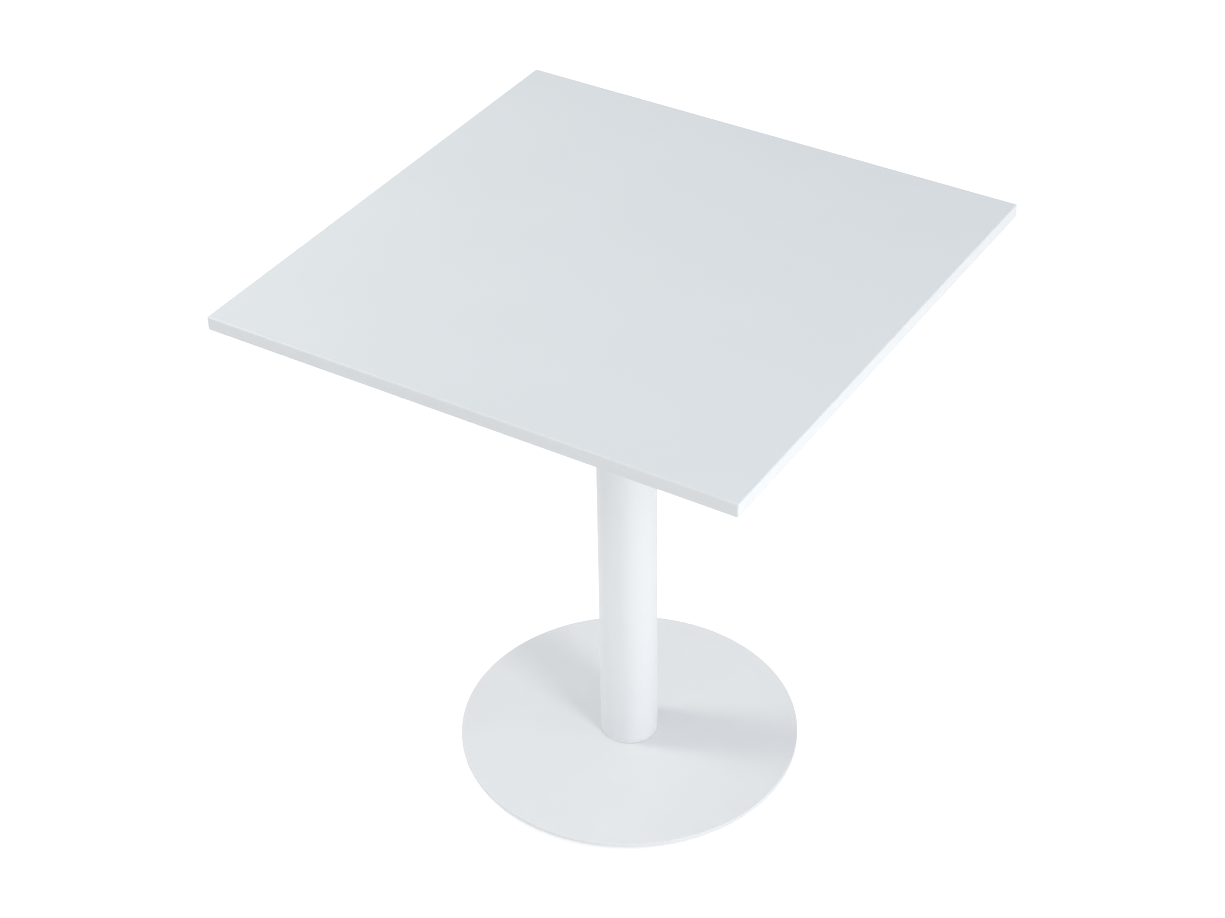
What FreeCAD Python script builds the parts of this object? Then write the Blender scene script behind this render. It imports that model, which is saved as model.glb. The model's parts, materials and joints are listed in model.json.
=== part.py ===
import FreeCAD, Part
import math
import os

import Sketcher

# Square bistro table: laminated board top, fixing plate, tubular column, round base plate and four
# levelling glides. Millimetres. +Z is up, the floor is at zero and the column stands on the Z axis.

SIZES = {
    "table_height": 750.0,
    # the top
    "top_width": 690.0,
    "top_thickness": 18.0,
    "corner_radius": 1.9,
    "arris_radius": 1.8,
    "band_thickness": 2.0,
    "laminate_thickness": 0.8,
    # threaded inserts in the top
    "insert_spacing": 280.0,
    "insert_diameter": 9.9,
    "insert_hole_diameter": 10.0,
    "insert_bore": 6.1,
    "insert_length": 13.0,
    "insert_recess": 0.3,
    "insert_hole_spare": 1.0,
    # plate that carries the top
    "fixing_width": 320.0,
    "fixing_thickness": 5.0,
    "fixing_corner_radius": 20.0,
    "fixing_arris_radius": 0.6,
    "fixing_hole_diameter": 7.0,
    # button head screws and washers under the fixing plate
    "button_shank": 6.0,
    "button_length": 18.0,
    "button_head_diameter": 10.5,
    "button_crown_diameter": 6.0,
    "button_head_height": 3.3,
    "button_rim_height": 0.8,
    "button_socket": 4.0,
    "button_socket_depth": 2.0,
    "washer_diameter": 18.0,
    "washer_hole": 6.4,
    "washer_thickness": 1.6,
    # column
    "tube_diameter": 76.1,
    "tube_wall": 2.0,
    "joint_gap": 0.3,
    "weld_gap": 0.05,
    "boss_height": 12.0,
    # countersunk screws that hold both plates to the column
    "screw_circle": 50.0,
    "screw_shank": 7.9,
    "screw_thread_hole": 8.0,
    "screw_clearance_hole": 9.0,
    "screw_head_diameter": 15.6,
    "screw_sink_diameter": 16.0,
    "screw_length": 14.0,
    "screw_socket": 5.0,
    "screw_socket_depth": 2.6,
    # base plate
    "base_diameter": 450.0,
    "base_thickness": 6.0,
    "base_arris_radius": 0.8,
    # levelling glides
    "floor_gap": 10.0,
    "glide_circle": 370.0,
    "bush_diameter": 16.0,
    "bush_bore": 8.0,
    "bush_drop": 2.5,
    "bush_pocket_depth": 4.5,
    "stud_diameter": 7.9,
    "stud_reach": 6.7,
    "thread_chamfer": 0.6,
    "collar_across_flats": 13.0,
    "collar_height": 3.0,
    "neck_diameter": 7.5,
    "flange_diameter": 12.0,
    "flange_thickness": 1.5,
    "pad_diameter": 32.0,
    "pad_top_diameter": 20.0,
    "pad_rim_height": 2.4,
    "pad_bevel": 0.8,
    "pad_floor": 1.5,
    "pad_cavity_diameter": 12.6,
    "pad_cavity_height": 1.8,
    "pad_mouth_diameter": 8.1,
}

GLIDE_ANGLES = (45, 135, 225, 315)

doc = FreeCAD.newDocument("bistro_table")
sheet = doc.addObject("Spreadsheet::Sheet", "sizes")
for row, (alias, number) in enumerate(SIZES.items(), start=1):
    sheet.set(f"A{row}", alias)
    sheet.set(f"B{row}", str(number))
    sheet.setAlias(f"B{row}", alias)
doc.recompute()


class Size:
    """A length and the spreadsheet formula that gives it."""

    def __init__(self, value, formula):
        self.value = value
        self.formula = formula

    def joined(self, sign, other, value):
        return Size(value, f"({self.formula} {sign} {as_size(other).formula})")

    def __add__(self, other):
        return self.joined("+", other, self.value + as_size(other).value)

    def __sub__(self, other):
        return self.joined("-", other, self.value - as_size(other).value)

    def __mul__(self, other):
        return self.joined("*", other, self.value * as_size(other).value)

    def __truediv__(self, other):
        return self.joined("/", other, self.value / as_size(other).value)

    def __neg__(self):
        return as_size(0.0) - self


def as_size(number):
    return number if isinstance(number, Size) else Size(float(number), repr(float(number)))


def size(alias):
    return Size(SIZES[alias], f"sizes.{alias}")


def bind(item, prop, length):
    """Tie a property to its spreadsheet formula."""
    item.setExpression(prop, as_size(length).formula)


ZERO = as_size(0.0)

# heights of the stack, from the floor up
BASE_BOTTOM = size("floor_gap")
BASE_TOP = BASE_BOTTOM + size("base_thickness")
TABLE_TOP = size("table_height")
TOP_UNDERSIDE = TABLE_TOP - size("top_thickness")
FIXING_UNDERSIDE = TOP_UNDERSIDE - size("fixing_thickness")
CORE_BOTTOM = TOP_UNDERSIDE + size("laminate_thickness")
CORE_TOP = TABLE_TOP - size("laminate_thickness")
BUSH_BOTTOM = BASE_BOTTOM - size("bush_drop")
PAD_TOP = BUSH_BOTTOM - size("collar_height")

# plan sizes that several pieces share
BOARD_WIDTH = size("top_width") - size("band_thickness") * 2
INSERT_PLACES = ((size("insert_spacing") / 2, size("insert_spacing") / 2),
                 (size("insert_spacing") / 2, ZERO))
SCREW_PLACES = ((size("screw_circle") / 2, ZERO),)
DIAGONAL = math.sqrt(0.5)
BUSH_PLACES = ((size("glide_circle") * (DIAGONAL / 2), size("glide_circle") * (DIAGONAL / 2)),)


# ---------------------------------------------------------------- tools for sketches and features

def new_body(label):
    body = doc.addObject("PartDesign::Body", label)
    body.Label = label
    body.AllowCompound = True
    return body


def new_sketch(body, name, plane_role, offset=ZERO):
    """An empty sketch on one of the body's own planes, moved along the plane's normal."""
    plane = next(item for item in body.Origin.OriginFeatures if item.Role == plane_role)
    sketch = body.newObject("Sketcher::SketchObject", name)
    sketch.AttachmentSupport = (plane, [""])
    sketch.MapMode = "FlatFace"
    bind(sketch, "AttachmentOffset.Base.z", offset)
    return sketch


def pin_point(sketch, geometry, point, across, up):
    """Fix one point of a sketch at its two distances from the sketch's origin."""
    for kind, length in (("DistanceX", across), ("DistanceY", up)):
        index = sketch.addConstraint(Sketcher.Constraint(kind, -1, 1, geometry, point, length.value))
        bind(sketch, f"Constraints[{index}]", length)


def add_outline(sketch, points):
    """A closed outline of straight lines through the given points."""
    corners = [FreeCAD.Vector(across.value, up.value, 0) for across, up in points]
    count = len(corners)
    first = sketch.GeometryCount
    for index, corner in enumerate(corners):
        sketch.addGeometry(Part.LineSegment(corner, corners[(index + 1) % count]))
    for index, (across, up) in enumerate(points):
        following = first + (index + 1) % count
        sketch.addConstraint(Sketcher.Constraint("Coincident", first + index, 2, following, 1))
        pin_point(sketch, first + index, 1, across, up)


def add_circle(sketch, across, up, diameter):
    centre = FreeCAD.Vector(across.value, up.value, 0)
    index = sketch.addGeometry(Part.Circle(centre, FreeCAD.Vector(0, 0, 1), diameter.value / 2))
    pin_point(sketch, index, 3, across, up)
    ring = sketch.addConstraint(Sketcher.Constraint("Diameter", index, diameter.value))
    bind(sketch, f"Constraints[{ring}]", diameter)


def add_square(sketch, width):
    half = width / 2
    add_outline(sketch, [(-half, -half), (half, -half), (half, half), (-half, half)])


def add_hexagon(sketch, across, up, across_flats):
    corner_radius = across_flats * (1 / math.sqrt(3))
    points = []
    for step in range(6):
        angle = math.radians(60 * step)
        points.append((across + corner_radius * round(math.cos(angle), 9),
                       up + corner_radius * round(math.sin(angle), 9)))
    add_outline(sketch, points)


def add_pad(body, name, sketch, length):
    pad = body.newObject("PartDesign::Pad", name)
    pad.Profile = sketch
    bind(pad, "Length", length)
    doc.recompute()
    return pad


def add_pocket(body, name, sketch, length, upwards=True):
    pocket = body.newObject("PartDesign::Pocket", name)
    pocket.Profile = sketch
    pocket.Reversed = upwards
    bind(pocket, "Length", length)
    doc.recompute()
    return pocket


def spin(body, kind, name, outline, place):
    """Turn an outline of (radius, height) points about an upright line, added or cut away."""
    across, back = place
    sketch = new_sketch(body, f"{name}_outline", "XZ_Plane", -back)
    add_outline(sketch, [(across + radius, height) for radius, height in outline])
    lowest = min(height.value for radius, height in outline)
    centre = sketch.addGeometry(Part.LineSegment(FreeCAD.Vector(across.value, lowest, 0),
                                                 FreeCAD.Vector(across.value, lowest + 1, 0)), True)
    for point, height in ((1, as_size(lowest)), (2, as_size(lowest + 1))):
        pin_point(sketch, centre, point, across, height)
    turned = body.newObject(f"PartDesign::{kind}", name)
    turned.Profile = sketch
    turned.ReferenceAxis = (sketch, ["Axis0"])
    turned.Angle = 360
    doc.recompute()
    return turned


def repeat_round(body, name, originals):
    """Four copies of the given features, a quarter turn apart about the column's axis."""
    axis = next(item for item in body.Origin.OriginFeatures if item.Role == "Z_Axis")
    pattern = body.newObject("PartDesign::PolarPattern", name)
    pattern.Originals = originals
    pattern.Axis = (axis, [""])
    pattern.Angle = 360
    pattern.Occurrences = 4
    body.Tip = pattern
    doc.recompute()
    return pattern


def round_edges(body, name, feature, radius, wanted):
    """Round those edges of a feature whose middle point passes the test."""
    names = []
    for index, edge in enumerate(feature.Shape.Edges, start=1):
        middle = edge.valueAt((edge.FirstParameter + edge.LastParameter) / 2)
        if wanted(middle):
            names.append(f"Edge{index}")
    fillet = body.newObject("PartDesign::Fillet", name)
    fillet.Base = (feature, names)
    bind(fillet, "Radius", radius)
    body.Tip = fillet
    doc.recompute()
    return fillet


def close_to(value, target):
    return abs(value - target.value) < 0.01


# ---------------------------------------------------------------- outlines of turned pieces

def ring_outline(inner, outer, bottom, top):
    return [(inner / 2, bottom), (outer / 2, bottom), (outer / 2, top), (inner / 2, top)]


def countersunk_outline(sink_diameter, hole_diameter, face, far, points_up):
    """Half section of a countersunk hole or screw, its wide end on the face, running to far."""
    depth = (sink_diameter - hole_diameter) / 2
    cone_end = face + depth if points_up else face - depth
    return [(ZERO, face), (sink_diameter / 2, face), (hole_diameter / 2, cone_end),
            (hole_diameter / 2, far), (ZERO, far)]


def chamfered_screw_outline(face, far, points_up):
    chamfer = size("thread_chamfer")
    shank = size("screw_shank")
    outline = countersunk_outline(size("screw_head_diameter"), shank, face, far, points_up)
    shoulder = far - chamfer if points_up else far + chamfer
    return outline[:3] + [(shank / 2, shoulder), (shank / 2 - chamfer, far), (ZERO, far)]


# ---------------------------------------------------------------- the top

def make_board(label, bottom, thickness, hole_depth):
    """One layer of the top, with a blind or through hole at each insert."""
    body = new_body(label)
    outline = new_sketch(body, f"{label}_outline", "XY_Plane", bottom)
    add_square(outline, BOARD_WIDTH)
    add_pad(body, f"{label}_pad", outline, thickness)
    if hole_depth is not None:
        holes = new_sketch(body, f"{label}_hole_circles", "XY_Plane", bottom)
        for across, up in INSERT_PLACES:
            add_circle(holes, across, up, size("insert_hole_diameter"))
        cut = add_pocket(body, f"{label}_holes", holes, hole_depth)
        repeat_round(body, f"{label}_hole_pattern", [cut])
    return body


def make_top_outline():
    """The whole top as one block with rounded corners and arrises: the outer form of the bands."""
    body = new_body("top_outline")
    outline = new_sketch(body, "top_outline_square", "XY_Plane", TOP_UNDERSIDE)
    add_square(outline, size("top_width"))
    block = add_pad(body, "top_outline_pad", outline, size("top_thickness"))
    half = size("top_width") / 2
    middle = TOP_UNDERSIDE + size("top_thickness") / 2
    corners = round_edges(body, "top_outline_corners", block, size("corner_radius"),
                          lambda point: close_to(point.z, middle))
    round_edges(body, "top_outline_arrises", corners, size("arris_radius"),
                lambda point: not close_to(point.z, middle)
                and max(abs(point.x), abs(point.y)) > half.value - size("corner_radius").value)
    return body


def make_edge_band(label, block, low_corner, length, width):
    """The strip of the top's outer form that lies inside one upright box."""
    region = doc.addObject("Part::Box", f"{label}_region")
    bind(region, "Length", length)
    bind(region, "Width", width)
    bind(region, "Height", size("top_thickness"))
    for axis, place in zip("xyz", (low_corner[0], low_corner[1], TOP_UNDERSIDE)):
        bind(region, f"Placement.Base.{axis}", place)
    band = doc.addObject("Part::Common", label)
    band.Label = label
    band.Base = block
    band.Tool = region
    return band


def make_edge_bands():
    """Front and back bands cover the ends of the left and right ones."""
    block = make_top_outline()
    thick = size("band_thickness")
    full = size("top_width")
    out = full / 2
    inner = out - thick
    return [
        make_edge_band("edge_band_front", block, (-out, -out), full, thick),
        make_edge_band("edge_band_back", block, (-out, inner), full, thick),
        make_edge_band("edge_band_left", block, (-out, -inner), thick, BOARD_WIDTH),
        make_edge_band("edge_band_right", block, (inner, -inner), thick, BOARD_WIDTH),
    ]


def make_top():
    laminate = size("laminate_thickness")
    hole_depth = size("insert_recess") + size("insert_length") + size("insert_hole_spare") - laminate
    return [
        make_board("top_laminate_upper", CORE_TOP, laminate, None),
        make_board("top_core_board", CORE_BOTTOM, CORE_TOP - CORE_BOTTOM, hole_depth),
        make_board("top_laminate_under", TOP_UNDERSIDE, laminate, laminate),
    ] + make_edge_bands()


def make_threaded_inserts():
    body = new_body("threaded_inserts")
    bottom = TOP_UNDERSIDE + size("insert_recess")
    outline = ring_outline(size("insert_bore"), size("insert_diameter"), bottom,
                           bottom + size("insert_length"))
    turned = [spin(body, "Revolution", f"insert_{number}", outline, place)
              for number, place in enumerate(INSERT_PLACES, start=1)]
    repeat_round(body, "insert_pattern", turned)
    return body


# ---------------------------------------------------------------- fixing plate and its fasteners

def cut_countersinks(body, name, face, far, points_up):
    """Four countersunk holes on the column's screw circle."""
    outline = countersunk_outline(size("screw_sink_diameter"), size("screw_clearance_hole"),
                                  face, far, points_up)
    cut = spin(body, "Groove", f"{name}_hole", outline, SCREW_PLACES[0])
    return repeat_round(body, f"{name}_hole_pattern", [cut])


def make_fixing_plate():
    body = new_body("top_fixing_plate")
    outline = new_sketch(body, "fixing_outline", "XY_Plane", FIXING_UNDERSIDE)
    add_square(outline, size("fixing_width"))
    plate = add_pad(body, "fixing_pad", outline, size("fixing_thickness"))
    middle = FIXING_UNDERSIDE + size("fixing_thickness") / 2
    corners = round_edges(body, "fixing_corners", plate, size("fixing_corner_radius"),
                          lambda point: close_to(point.z, middle))
    round_edges(body, "fixing_arris", corners, size("fixing_arris_radius"),
                lambda point: close_to(point.z, FIXING_UNDERSIDE))
    circles = new_sketch(body, "fixing_hole_circles", "XY_Plane", FIXING_UNDERSIDE)
    for across, up in INSERT_PLACES:
        add_circle(circles, across, up, size("fixing_hole_diameter"))
    holes = add_pocket(body, "fixing_holes", circles, size("fixing_thickness"))
    repeat_round(body, "fixing_hole_pattern", [holes])
    cut_countersinks(body, "fixing_sink", TOP_UNDERSIDE, FIXING_UNDERSIDE, False)
    return body


def make_fixing_washers():
    body = new_body("fixing_plate_washers")
    outline = ring_outline(size("washer_hole"), size("washer_diameter"),
                           FIXING_UNDERSIDE - size("washer_thickness"), FIXING_UNDERSIDE)
    turned = [spin(body, "Revolution", f"washer_{number}", outline, place)
              for number, place in enumerate(INSERT_PLACES, start=1)]
    repeat_round(body, "washer_pattern", turned)
    return body


def make_fixing_screws():
    """Button head screws, heads down, each with a hexagon socket."""
    body = new_body("fixing_plate_screws")
    seat = FIXING_UNDERSIDE - size("washer_thickness")
    head_bottom = seat - size("button_head_height")
    tip = seat + size("button_length")
    chamfer = size("thread_chamfer")
    shank = size("button_shank") / 2
    outline = [
        (ZERO, head_bottom),
        (size("button_crown_diameter") / 2, head_bottom),
        (size("button_head_diameter") / 2, seat - size("button_rim_height")),
        (size("button_head_diameter") / 2, seat),
        (shank, seat),
        (shank, tip - chamfer),
        (shank - chamfer, tip),
        (ZERO, tip),
    ]
    features = [spin(body, "Revolution", f"button_{number}", outline, place)
                for number, place in enumerate(INSERT_PLACES, start=1)]
    sockets = new_sketch(body, "button_socket_outline", "XY_Plane", head_bottom)
    for across, up in INSERT_PLACES:
        add_hexagon(sockets, across, up, size("button_socket"))
    features.append(add_pocket(body, "button_sockets", sockets, size("button_socket_depth")))
    repeat_round(body, "button_pattern", features)
    return body


# ---------------------------------------------------------------- column

def make_column_tube():
    """Round tube; both ends stop short of the plates, so that only the bosses bear on them."""
    body = new_body("column_tube")
    bottom = BASE_TOP + size("joint_gap")
    outline = new_sketch(body, "tube_circles", "XY_Plane", bottom)
    add_circle(outline, ZERO, ZERO, size("tube_diameter"))
    add_circle(outline, ZERO, ZERO, size("tube_diameter") - size("tube_wall") * 2)
    add_pad(body, "tube_pad", outline, FIXING_UNDERSIDE - size("joint_gap") - bottom)
    return body


def make_column_boss(label, bottom):
    """Thick disc welded into an end of the tube, with four tapped holes right through."""
    body = new_body(label)
    disc = new_sketch(body, f"{label}_circle", "XY_Plane", bottom)
    bore = size("tube_diameter") - size("tube_wall") * 2
    add_circle(disc, ZERO, ZERO, bore - size("weld_gap") * 2)
    add_pad(body, f"{label}_pad", disc, size("boss_height"))
    circles = new_sketch(body, f"{label}_hole_circle", "XY_Plane", bottom)
    for across, up in SCREW_PLACES:
        add_circle(circles, across, up, size("screw_thread_hole"))
    hole = add_pocket(body, f"{label}_hole", circles, size("boss_height"))
    repeat_round(body, f"{label}_hole_pattern", [hole])
    return body


def make_boss_screws(label, face, points_up):
    """Countersunk screws with a hexagon socket, heads flush with a plate's outer face."""
    body = new_body(label)
    tip = face + size("screw_length") if points_up else face - size("screw_length")
    outline = chamfered_screw_outline(face, tip, points_up)
    screw = spin(body, "Revolution", f"{label}_turned", outline, SCREW_PLACES[0])
    socket = new_sketch(body, f"{label}_socket_outline", "XY_Plane", face)
    for across, up in SCREW_PLACES:
        add_hexagon(socket, across, up, size("screw_socket"))
    cut = add_pocket(body, f"{label}_socket", socket, size("screw_socket_depth"), points_up)
    repeat_round(body, f"{label}_pattern", [screw, cut])
    return body


# ---------------------------------------------------------------- base plate and glides

def make_base_plate():
    body = new_body("base_plate")
    outline = new_sketch(body, "base_circle", "XY_Plane", BASE_BOTTOM)
    add_circle(outline, ZERO, ZERO, size("base_diameter"))
    disc = add_pad(body, "base_pad", outline, size("base_thickness"))
    middle = BASE_BOTTOM + size("base_thickness") / 2
    round_edges(body, "base_arrises", disc, size("base_arris_radius"),
                lambda point: not close_to(point.z, middle))
    circles = new_sketch(body, "bush_pocket_circle", "XY_Plane", BASE_BOTTOM)
    for across, up in BUSH_PLACES:
        add_circle(circles, across, up, size("bush_diameter") + size("weld_gap") * 2)
    pocket = add_pocket(body, "bush_pocket", circles, size("bush_pocket_depth"))
    repeat_round(body, "bush_pocket_pattern", [pocket])
    cut_countersinks(body, "base_sink", BASE_BOTTOM, BASE_TOP, True)
    return body


def make_glide_bosses():
    """Threaded bushes welded into blind pockets of the base plate."""
    body = new_body("glide_bosses")
    outline = ring_outline(size("bush_bore"), size("bush_diameter"), BUSH_BOTTOM,
                           BASE_BOTTOM + size("bush_pocket_depth"))
    bush = spin(body, "Revolution", "bush", outline, BUSH_PLACES[0])
    repeat_round(body, "bush_pattern", [bush])
    return body


def put_at_glide(body, angle):
    """Stand a glide piece, made on the Z axis, at its place under the base plate."""
    radius = size("glide_circle") / 2
    bind(body, "Placement.Base.x", radius * round(math.cos(math.radians(angle)), 9))
    bind(body, "Placement.Base.y", radius * round(math.sin(math.radians(angle)), 9))


def make_glide_stud(number, angle):
    """Threaded stud with a hexagon collar and a flange that turns in the pad."""
    label = f"glide_stud_{number}"
    body = new_body(label)
    shank = size("stud_diameter") / 2
    neck = size("neck_diameter") / 2
    flange = size("flange_diameter") / 2
    flange_bottom = size("pad_floor")
    flange_top = flange_bottom + size("flange_thickness")
    tip = BUSH_BOTTOM + size("stud_reach")
    chamfer = size("thread_chamfer")
    outline = [
        (ZERO, flange_bottom), (flange, flange_bottom), (flange, flange_top), (neck, flange_top),
        (neck, PAD_TOP), (shank, PAD_TOP), (shank, tip - chamfer), (shank - chamfer, tip), (ZERO, tip),
    ]
    spin(body, "Revolution", f"{label}_turned", outline, (ZERO, ZERO))
    collar = new_sketch(body, f"{label}_collar_outline", "XY_Plane", PAD_TOP)
    add_hexagon(collar, ZERO, ZERO, size("collar_across_flats"))
    add_pad(body, f"{label}_collar", collar, size("collar_height"))
    put_at_glide(body, angle)
    return body


def make_glide_pad(number, angle):
    """Nylon foot, hollow inside for the stud's flange."""
    label = f"glide_pad_{number}"
    body = new_body(label)
    rim = size("pad_diameter") / 2
    cavity = size("pad_cavity_diameter") / 2
    cavity_top = size("pad_floor") + size("pad_cavity_height")
    mouth = size("pad_mouth_diameter") / 2
    bevel = size("pad_bevel")
    outline = [
        (ZERO, ZERO), (rim - bevel, ZERO), (rim, bevel), (rim, size("pad_rim_height")),
        (size("pad_top_diameter") / 2, PAD_TOP), (mouth, PAD_TOP), (mouth, cavity_top),
        (cavity, cavity_top), (cavity, size("pad_floor")), (ZERO, size("pad_floor")),
    ]
    spin(body, "Revolution", f"{label}_turned", outline, (ZERO, ZERO))
    put_at_glide(body, angle)
    return body


# ---------------------------------------------------------------- build, check, export

def make_table():
    pieces = make_top()
    pieces += [make_threaded_inserts(), make_fixing_plate(), make_fixing_washers(), make_fixing_screws()]
    pieces += [
        make_column_tube(),
        make_column_boss("column_upper_boss", FIXING_UNDERSIDE - size("boss_height")),
        make_column_boss("column_lower_boss", BASE_TOP),
        make_boss_screws("upper_boss_screws", TOP_UNDERSIDE, False),
        make_boss_screws("lower_boss_screws", BASE_BOTTOM, True),
        make_base_plate(),
        make_glide_bosses(),
    ]
    for number, angle in enumerate(GLIDE_ANGLES, start=1):
        pieces += [make_glide_stud(number, angle), make_glide_pad(number, angle)]
    return pieces


def check(pieces):
    """Stop before anything is written if an object failed or a shape isn't sound."""
    for item in doc.Objects:
        if "Invalid" in item.State or "Error" in item.State:
            raise RuntimeError(f"{item.Name} failed: {item.State}")
    for piece in pieces:
        if piece.Shape.isNull() or not piece.Shape.isValid():
            raise RuntimeError(f"{piece.Label} has no sound shape")


parts = make_table()
doc.recompute()
check(parts)
os.makedirs("parts", exist_ok=True)
for part in parts:
    part.Shape.exportStep(f"parts/{part.Label}.step")
    print(f"{part.Label}: {len(part.Shape.Solids)} solids, {part.Shape.Volume:.1f} mm3")
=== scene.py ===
import json
import math

import bmesh
import bpy
from mathutils import Matrix, Vector


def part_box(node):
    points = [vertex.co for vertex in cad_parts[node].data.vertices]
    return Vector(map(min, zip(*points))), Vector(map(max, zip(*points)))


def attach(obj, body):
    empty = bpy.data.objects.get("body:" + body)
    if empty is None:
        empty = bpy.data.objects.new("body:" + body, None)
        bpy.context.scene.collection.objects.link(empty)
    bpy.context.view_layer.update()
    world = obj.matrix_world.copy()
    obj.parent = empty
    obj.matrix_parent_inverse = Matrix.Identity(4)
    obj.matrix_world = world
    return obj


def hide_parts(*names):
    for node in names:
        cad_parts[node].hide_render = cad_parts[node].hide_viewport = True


# Square bistro table: a laminated top with plastic edging, a powder coated tube and a round steel foot
# on four levelling glides. Metres. The floor is at zero and the column stands on the Z axis.

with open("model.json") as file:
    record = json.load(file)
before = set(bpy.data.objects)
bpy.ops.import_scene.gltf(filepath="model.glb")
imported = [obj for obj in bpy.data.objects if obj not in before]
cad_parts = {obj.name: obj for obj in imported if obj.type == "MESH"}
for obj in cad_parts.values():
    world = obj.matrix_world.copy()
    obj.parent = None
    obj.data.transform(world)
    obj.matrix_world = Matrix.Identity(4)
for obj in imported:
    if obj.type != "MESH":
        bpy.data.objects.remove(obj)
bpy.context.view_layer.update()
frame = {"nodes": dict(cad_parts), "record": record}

MM = 0.001
MICRON = 0.001 * MM
TURN = 2 * math.pi
GLIDES = (1, 2, 3, 4)
SLOTS = {part["node"]: part["material_slot"] for part in frame["record"]["subparts"]}
finishes = {}

# the top
ARRIS = 1.8 * MM
CORNER = 1.9 * MM
EDGING = 2.0 * MM
SEAM = 0.05 * MM

# what stands in rows and rings
FIXING_SPACING = 140.0 * MM
SCREW_RING = 25.0 * MM
GLIDE_RING = 185.0 * MM
GLIDE_START = 45.0

# threads
M8_PITCH = 1.25 * MM
M8_DEPTH = 0.65 * MM
M6_PITCH = 1.0 * MM
M6_DEPTH = 0.5 * MM
THREAD_ROOT = 0.09 * MM
THREAD_FLANK = 0.46
THREAD_STEPS = 37


# ------------------------ meshes

def rounded(outline, radii, steps):
    """An outline with rounded corners. Each radius belongs to the point in the same place."""
    points = []
    count = len(outline)
    for index, (corner, radius) in enumerate(zip(outline, radii)):
        corner = Vector(corner)
        if radius == 0:
            points.append(corner)
            continue
        before = (Vector(outline[index - 1]) - corner).normalized()
        after = (Vector(outline[(index + 1) % count]) - corner).normalized()
        half = before.angle(after) / 2
        centre = corner + (before + after).normalized() * (radius / math.sin(half))
        start = corner + before * (radius / math.tan(half)) - centre
        sweep = start.angle_signed(corner + after * (radius / math.tan(half)) - centre)
        for step in range(steps + 1):
            points.append(centre + Matrix.Rotation(-sweep * step / steps, 2) @ start)
    return points


def join_rings(bm, lower, upper):
    """Faces between two rings of vertices, either of which may be a single point."""
    count = max(len(lower), len(upper))
    if count == 1:
        return
    for step in range(count):
        after = (step + 1) % count
        corners = [lower[step % len(lower)], lower[after % len(lower)],
                   upper[after % len(upper)], upper[step % len(upper)]]
        bm.faces.new(list(dict.fromkeys(corners)))


def stack(bm, rings):
    """A solid closed over a stack of rings, with its faces turned outwards."""
    for lower, upper in zip(rings, rings[1:]):
        join_rings(bm, lower, upper)
    bm.faces.new(rings[0])
    bm.faces.new(rings[-1])
    bmesh.ops.recalc_face_normals(bm, faces=bm.faces)
    return bm


def lathe(outline, segments, centre=(0, 0), capped=False):
    """A solid turned about an upright axis from (radius, height) points.

    The outline is closed, or runs from one flat cap to the other."""
    bm = bmesh.new()
    rings = []
    for radius, height in outline:
        count = 1 if radius < 1e-7 else segments
        rings.append([bm.verts.new((centre[0] + radius * math.cos(TURN * step / segments),
                                    centre[1] + radius * math.sin(TURN * step / segments), height))
                      for step in range(count)])
    if capped:
        return stack(bm, rings)
    for lower, upper in zip(rings, rings[1:] + rings[:1]):
        join_rings(bm, lower, upper)
    bmesh.ops.recalc_face_normals(bm, faces=bm.faces)
    return bm


def hexagon(across_flats, bottom, top):
    """An upright six-sided bar, turned a little so that its corners miss the seams of turned pieces."""
    turn = 0.04
    radius = across_flats / 2 / math.cos(TURN / 12)
    corners = [(radius * math.cos(turn + TURN * step / 6), radius * math.sin(turn + TURN * step / 6))
               for step in range(6)]
    bm = bmesh.new()
    return stack(bm, [[bm.verts.new((x, y, height)) for x, y in corners] for height in (bottom, top)])


def rounded_square(half, corner, inset):
    """Plan points of a square with rounded corners, moved inwards by the inset."""
    steps = 8
    reach = half - corner
    points = []
    for quarter in range(4):
        across = math.copysign(reach, math.cos(TURN / 8 + TURN / 4 * quarter))
        up = math.copysign(reach, math.sin(TURN / 8 + TURN / 4 * quarter))
        for step in range(steps + 1):
            angle = TURN / 4 * (quarter + step / steps)
            points.append((across + (corner - inset) * math.cos(angle),
                           up + (corner - inset) * math.sin(angle)))
    return points


def slab(half, corner, bottom, top, arris_below, arris_above):
    """A square board with rounded corners and rounded arrises."""
    steps = 6
    bm = bmesh.new()
    rings = []
    for height, radius, side in ((bottom, arris_below, 1), (top, arris_above, -1)):
        angles = [TURN / 4 * step / steps for step in range(steps + 1)]
        if side < 0:
            angles.reverse()
        for angle in angles:
            inset = radius * (1 - math.sin(angle))
            level = height + side * radius * (1 - math.cos(angle))
            rings.append([bm.verts.new((x, y, level))
                          for x, y in rounded_square(half, corner, inset)])
    return stack(bm, rings)


def block(low, high):
    """A plain block between two corners, used for cutting."""
    bm = bmesh.new()
    middle = (Vector(low) + Vector(high)) / 2
    size = Vector(high) - Vector(low)
    bmesh.ops.create_cube(bm, size=1.0, matrix=Matrix.Translation(middle) @ Matrix.Diagonal((*size, 1)))
    return bm


def chamfered_hexagon(across_flats, bottom, top):
    """A hexagon collar whose corners are turned off at both faces."""
    face = 0.48 * across_flats
    corner = 0.6 * across_flats
    chamfer = (corner - face) * math.tan(TURN / 12)
    made = add_object("collar", hexagon(across_flats, bottom, top))
    turned = add_object("turned", lathe([
        (0, bottom), (face, bottom), (corner, bottom + chamfer), (corner, top - chamfer),
        (face, top), (0, top)], 70))
    return combine(made, "INTERSECT", [turned])


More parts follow.
